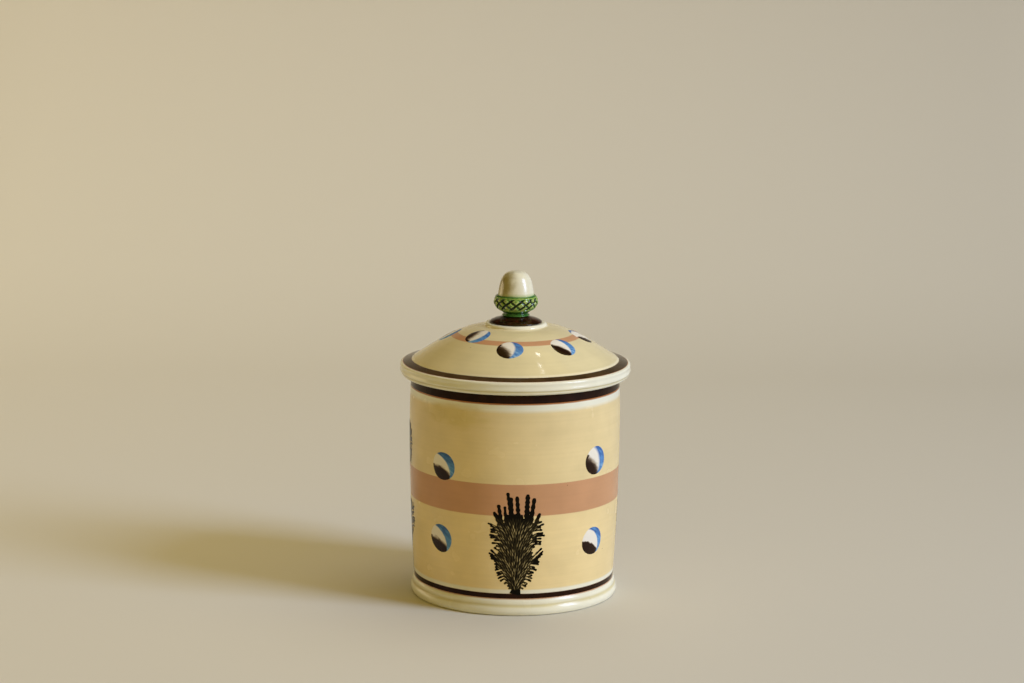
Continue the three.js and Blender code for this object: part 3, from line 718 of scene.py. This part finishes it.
# tree stains: dark acid stain that spread by itself through the wet slip, from a touch at its root
grove = dict(
    step=0.5, heartPitch=1.4, heartRadius=1.05, trunkRadius=3.2, bump=0.17,
    fingerPitch=1.75, fingerLength=8, fingerRadius=0.58,
    fullSide=(0.46, 0.58, 2.4),          # between these shares the fingers of one side reach out further
    crownAt=0.677,                       # share of the height where the heart ends and the crown starts
    # by share of the height: half widths in millimetres for each kind of tree, the share of them that is
    # solid, and the degrees by which the fingers at the edge lean outwards
    twoLobes=[(0, 3.2), (0.054, 5.4), (0.088, 7.5), (0.136, 10.6), (0.21, 12.6), (0.29, 14.2),
              (0.385, 17.3), (0.43, 15.4), (0.45, 12.2), (0.475, 14), (0.51, 13.2), (0.56, 15.8),
              (0.745, 16.8)],
    highCrown=[(0, 3), (0.1, 4.5), (0.3, 8), (0.44, 13.5), (0.52, 15.5), (0.62, 16.5), (0.745, 18)],
    bush=[(0, 9), (0.1, 14), (0.3, 15.5), (0.5, 14.5), (0.745, 12)],
    hearts=[(0, 0.55), (0.1, 0.58), (0.35, 0.6), (0.44, 0.6), (0.52, 0.66), (0.69, 0.66)],
    leans=[(0, 130), (0.15, 125), (0.27, 108), (0.35, 74), (0.41, 46), (0.44, 52), (0.46, 95), (0.62, 90),
           (0.7, 70), (0.745, 52)],
    waist=[(9.2, 0.395), (9.4, 0.425), (9.9, 0.455)],     # tips of the short fingers between the two lobes
    # fingers of a full crown: place across and rise of the tip, radius, and the root's place from the tip
    crown=[(-12.5, 6.4, 1, 3.1), (-9.9, 10.4, 0.95, 1.7), (-6.6, 10.1, 0.72, 0.6), (-5, 4.6, 0.9, 0.3),
           (-4.8, 18.4, 0.88, 2.5), (-2.9, 15.6, 0.9, 0.8), (-0.1, 5.2, 0.85, 0), (0.8, 16.7, 1, 1.2),
           (3.4, 5.4, 0.8, 0), (6.5, 17.2, 1.2, -0.8), (10.2, 14.6, 1.05, -1.9), (14, 5.8, 0.95, -2.3)],
    root=footLineTop + 0.5,              # where a tree starts, unless it says otherwise
    trees=[
        dict(seed=29, azimuth=1.1, height=64, outline="twoLobes", side=1, crown=1),
        dict(seed=17, azimuth=102.5, height=65, outline="twoLobes", side=-1, crown=0.95),
        dict(seed=11, azimuth=181, height=63.5, outline="twoLobes", side=-1, crown=0.9),
        dict(seed=5, azimuth=-89, height=63, outline="highCrown", side=1, crown=0.1),
        dict(seed=3, azimuth=-89, height=33, outline="bush", side=1, crown=0.3, root=midHigh - 1.5),
    ],
    # slits where the stain is thin: their spacing, length and width, and how they fan out with the growth
    slitAcross=1.45, slitUp=1.9, slitLength=3.4, slitWidth=0.27,
    fanAngle=75, fanNarrow=5, fanWide=14, fanOpen=0.75,
    voxel=0.27, lift=0.055, flatten=0.05, spread=0.08,
)


def along(table, share):
    share = min(max(share, table[0][0]), table[-1][0])
    for (a, low), (b, high) in zip(table, table[1:]):
        if share <= b:
            t = (share - a) / (b - a)
            return low + (high - low) * t * t * (3 - 2 * t)


def halfWidth(plant, y):
    return along(grove[plant["outline"]], y / plant["height"])


def heartWidth(plant, y):
    return along(grove["hearts"], y / plant["height"]) * halfWidth(plant, y)


# strokes of one tree, flat, as lists of (across, up, radius) in millimetres: a heart with fingers all round
def growTree(plant):
    chance, strokes, top = random.Random(plant["seed"]), [], plant["height"] * grove["crownAt"]

    def finger(x, y, lean, inner, length, radius, fatter):          # from its tip back into the heart
        phase, rate, line = chance.uniform(0, 6), chance.uniform(1.3, 2.3), []
        for i in range(int(length / grove["step"]) + 1):
            s = i * grove["step"]
            angle = math.radians(lean + (inner - lean) * (s / length) ** 1.3)
            bumps = 1 + grove["bump"] * math.sin(rate * s + phase)
            line.append((x, y, radius * (1 + fatter * s / length) * bumps))
            x -= math.sin(angle) * grove["step"]
            y -= math.cos(angle) * grove["step"]
        strokes.append(line)

    trunk = (6, 4.5, 3, 1.5, 0, -0.8)
    strokes.append([(0.5 * math.sin(y * 0.4), y, grove["trunkRadius"] * (1 - 0.08 * y)) for y in trunk])
    y = 3.5
    while y < top:
        reach = heartWidth(plant, y) - 0.7
        strokes.append([(reach * k / 4, y, grove["heartRadius"]) for k in range(-4, 5)])
        y += grove["heartPitch"]
    for side in (-1, 1):
        y = 2.8
        while y < top + 1:
            slope = abs(halfWidth(plant, y + 0.4) - halfWidth(plant, y)) / 0.4
            lean = along(grove["leans"], y / plant["height"]) + chance.uniform(-5, 5)
            tip = halfWidth(plant, y) + chance.uniform(-1.6, 0.5) - grove["fingerRadius"]
            fullFrom, fullTo, fuller = grove["fullSide"]
            if side == plant["side"] and fullFrom < y / plant["height"] < fullTo:
                tip += fuller
            length = min(grove["fingerLength"], tip * 0.9) * chance.uniform(0.85, 1.15)
            radius = grove["fingerRadius"] * chance.uniform(0.9, 1.15)
            finger(side * tip, y, side * lean, side * 45, length, radius, -0.2)
            y += grove["fingerPitch"] * chance.uniform(0.88, 1.12) / math.hypot(1, 0.35 * slope)
        for tip, share in grove["waist"] if plant["outline"] == "twoLobes" else ():
            tip += chance.uniform(-0.6, 0.6)
            finger(side * tip, share * plant["height"], side * 80, side * 45, tip * 0.6,
                   grove["fingerRadius"], -0.1)
    for across, rise, radius, drift in grove["crown"]:
        across = plant["side"] * across + chance.uniform(-0.3, 0.3)
        rise = rise * plant["crown"] + chance.uniform(-0.4, 0.4)
        drift *= plant["side"] * plant["crown"]
        lean = math.degrees(math.atan2(-drift, max(rise, 1)))
        finger(across, top + rise, lean, lean, math.hypot(rise, drift) + 3, radius, 0.3)
    return strokes


# slits between the strokes: short dashes in brick order that fan out with the growth, kept as thinness
def slitTree(bm, plant):
    chance, slits = random.Random(plant["seed"]), []
    y, row, top = 3.5, 0, plant["height"] * grove["crownAt"] + 2
    while y < top:
        reach = heartWidth(plant, y) + 2.2
        x = -reach + grove["slitAcross"] * (row % 2) / 2
        while x < reach:
            spot = Vector((x + chance.uniform(-0.3, 0.3), y + chance.uniform(-0.4, 0.4), 0))
            fan = min(grove["fanWide"], max(grove["fanNarrow"], grove["fanOpen"] * spot.y))
            lean = math.radians(grove["fanAngle"]) * math.tanh(spot.x / fan)
            depth = chance.uniform(0.3, 1.1) * min(1, (top - y) / 5 + chance.uniform(0, 0.4))
            slits.append((spot, Vector((math.sin(lean), math.cos(lean), 0)), depth))
            x += grove["slitAcross"]
        y += grove["slitUp"]
        row += 1
    nearby = kdtree.KDTree(len(slits))
    for i, slit in enumerate(slits):
        nearby.insert(slit[0], i)
    nearby.balance()
    thin = bm.verts.layers.float.new("thin")
    half = grove["slitLength"] / 2
    for vert in bm.verts:
        place = Vector((vert.co.x, vert.co.y, 0)) / mm
        for spot, i, away in nearby.find_range(place, half):
            _, way, depth = slits[i]
            ahead = (place - spot).dot(way)
            aside = max(0, away ** 2 - ahead ** 2) / grove["slitWidth"] ** 2
            vert[thin] = max(vert[thin], depth * math.exp(-aside) * (1 - (ahead / half) ** 2))


# the mesh of a shape as its modifiers leave it
def meshOf(shape):
    scene.collection.objects.link(shape)
    return bpy.data.meshes.new_from_object(shape.evaluated_get(bpy.context.evaluated_depsgraph_get()))


# one flat sheet of the strokes run together
def treeSheet(strokes, name):
    curve = bpy.data.curves.new(name, "CURVE")
    curve.dimensions = "3D"
    curve.bevel_depth = mm
    curve.bevel_resolution = 2
    curve.use_fill_caps = True
    for line in strokes:
        (ax, ay, radius), (bx, by, _) = line[0], line[1]
        length = math.hypot(ax - bx, ay - by) or 1
        away = ((ax - bx) / length, (ay - by) / length)
        rounding = ((0.9, 0.35), (0.6, 0.8))             # how far past the tip, and how wide there
        cap = [(ax + away[0] * radius * k, ay + away[1] * radius * k, radius * w) for k, w in rounding]
        points = cap + line
        spline = curve.splines.new("POLY")
        spline.points.add(len(points) - 1)
        for point, (x, y, r) in zip(spline.points, points):
            point.co = (x * mm, y * mm, 0, 1)
            point.radius = r + grove["spread"]
    shape = bpy.data.objects.new(name, curve)
    tubes = bpy.data.objects.new(name, meshOf(shape))
    merge = tubes.modifiers.new("merge", "REMESH")
    merge.mode = "VOXEL"
    merge.voxel_size = grove["voxel"] * mm
    bm = bmesh.new()
    bm.from_mesh(meshOf(tubes))
    for spent in (shape, tubes):
        bpy.data.objects.remove(spent)
    for vert in bm.verts:
        vert.co.z = (grove["lift"] + grove["flatten"] * math.tanh(vert.co.z / (0.4 * mm))) * mm
    return bm


# iron stain under the glaze: brown black, olive in the thin slits where the yellow slip shows through
treeStain, tree = newMaterial("iron_tree_stain_glazed")
thin = add(tree, "Attribute", attribute_name="thin").outputs["Fac"]
tone = add(tree, "ValToRGB", {"Fac": thin}, stops=[(0, "#0B0803"), (0.35, "#3A321C"), (1, "#BCAB78")])
glaze(tree, tone, gloss=0.22, ior=1.17)
for i, plant in enumerate(grove["trees"], 1):
    bm = treeSheet(growTree(plant), f"tree_{i}")
    slitTree(bm, plant)
    layOnWall(bm, math.radians(plant["azimuth"]), plant.get("root", grove["root"]))
    bmesh.ops.recalc_face_normals(bm, faces=bm.faces)
    addPiece(bm, f"jar_tree_stain_{i}", "jar", [treeStain], crease=80)
print("tree stains grown:", len(grove["trees"]))

# floor and backdrop in one sweep
stage = dict(
    front=-12, back=1.4, sweep=0.7, height=3, half=12,
    # paper colours by height in metres: dimmer high up, where the camera does not look
    paper=[(0, "#DAD6C8"), (0.05, "#DAD6C8"), (0.3, "#CEC9BA"), (1, "#3E2D15")],
    # the paper is painted darker towards the window and paler away from it: painted shade and painted light
    # that even out the window's fall-off
    leftTone=1.08, rightTone=0.74, toneReach=0.5,      # a little paler away from the window
)
bm = bmesh.new()
back, bowl = stage["back"], stage["sweep"]
line = [(stage["front"], 0), (back - bowl, 0)]
for i in range(1, 25):
    angle = math.pi / 2 * i / 24
    line.append((back - bowl * (1 - math.sin(angle)), bowl * (1 - math.cos(angle))))
line.append((back, stage["height"]))
points = [bm.verts.new((-stage["half"], y, z)) for y, z in line]
edges = [bm.edges.new(pair) for pair in zip(points, points[1:])]
side = bmesh.ops.extrude_edge_only(bm, edges=edges)["geom"]
bmesh.ops.translate(bm, verts=[v for v in side if isinstance(v, bmesh.types.BMVert)],
                    vec=(2 * stage["half"], 0, 0))
bmesh.ops.recalc_face_normals(bm, faces=bm.faces)
sweepMesh = bpy.data.meshes.new("sweep")
bm.to_mesh(sweepMesh)
bm.free()
sweepMesh.shade_smooth()
sweep = bpy.data.objects.new("sweep", sweepMesh)
scene.collection.objects.link(sweep)
paper, tree = newMaterial("matt_backdrop_paper")
place = add(tree, "TexCoord").outputs["Object"]
parts = add(tree, "SeparateXYZ", {"Vector": place}).outputs
tone = add(tree, "ValToRGB", {"Fac": parts["Z"]}, stops=stage["paper"])
paler = add(tree, "MapRange", {"From Min": -stage["toneReach"], "From Max": stage["toneReach"],
                               "To Min": stage["leftTone"], "To Max": stage["rightTone"],
                               "Value": parts["X"]})
toned = add(tree, "VectorMath", {0: tone, "Scale": paler}, operation="SCALE")
shader = add(tree, "BsdfPrincipled", {"Roughness": 0.9, "Base Color": toned})
add(tree, "OutputMaterial", {"Surface": shader})
sweepMesh.materials.append(paper)

# one tall window to the right, soft light from behind and from the left wall, and the room's own warm light
lights = dict(
    window=dict(azimuth=66.5, elevation=26, distance=3, width=0.92, height=1.7, power=96, colour="#C6D8FF"),
    skylight=dict(azimuth=150, elevation=68, width=1.6, height=1.6, power=11, colour="#F6F2EA",
                  mirrored=False),
    leftWall=dict(azimuth=-118, elevation=6, width=1.6, height=0.5, power=7.4, colour="#FFE8C0"),
    # two small lamps that make the glints on the dome
    lampLow=dict(azimuth=141.1, elevation=70.6, width=0.09, height=0.006, spin=41.5, power=0.03),
    lampHigh=dict(azimuth=149.8, elevation=66.9, width=0.065, height=0.065, spin=32, power=0.16),
)
room = dict(colour="#FFDB5C", level=0.68,
            dimLevel=0.13, dimTowards=(-0.83, -0.1, 0.55), dimFrom=0.35, dimTo=0.9)
aimAt = Vector((0, 0, 0.1))
for name, lamp in lights.items():
    data = bpy.data.lights.new(name, "AREA")
    data.shape = "RECTANGLE"
    data.size, data.size_y = lamp["width"], lamp["height"]
    data.energy = lamp["power"]
    data.color = linear(lamp.get("colour", "#FFFFFF"))[:3]
    turnTo, rise = math.radians(lamp["azimuth"]), math.radians(lamp["elevation"])
    away = Vector((math.sin(turnTo) * math.cos(rise), -math.cos(turnTo) * math.cos(rise), math.sin(rise)))
    light = bpy.data.objects.new(name, data)
    light.location = aimAt + away * lamp.get("distance", 2)
    aimed = (-away).to_track_quat("-Z", "Y").to_matrix().to_4x4()
    light.rotation_euler = (aimed @ Matrix.Rotation(math.radians(lamp.get("spin", 0)), 4, "Z")).to_euler()
    light.visible_glossy = lamp.get("mirrored", True)
    scene.collection.objects.link(light)
world = bpy.data.worlds.new("room")
world.use_nodes = True
tree = world.node_tree
tree.nodes.clear()
way = add(tree, "TexCoord").outputs["Generated"]
facing = add(tree, "VectorMath", {0: way, 1: room["dimTowards"]}, operation="DOT_PRODUCT")
level = add(tree, "MapRange", {"Value": facing, "From Min": room["dimFrom"], "From Max": room["dimTo"],
                               "To Min": room["level"], "To Max": room["dimLevel"]}, **smooth)
air = add(tree, "Background", {"Color": linear(room["colour"]), "Strength": level})
add(tree, "OutputWorld", {"Surface": air})
scene.world = world
print("stage and lights set")
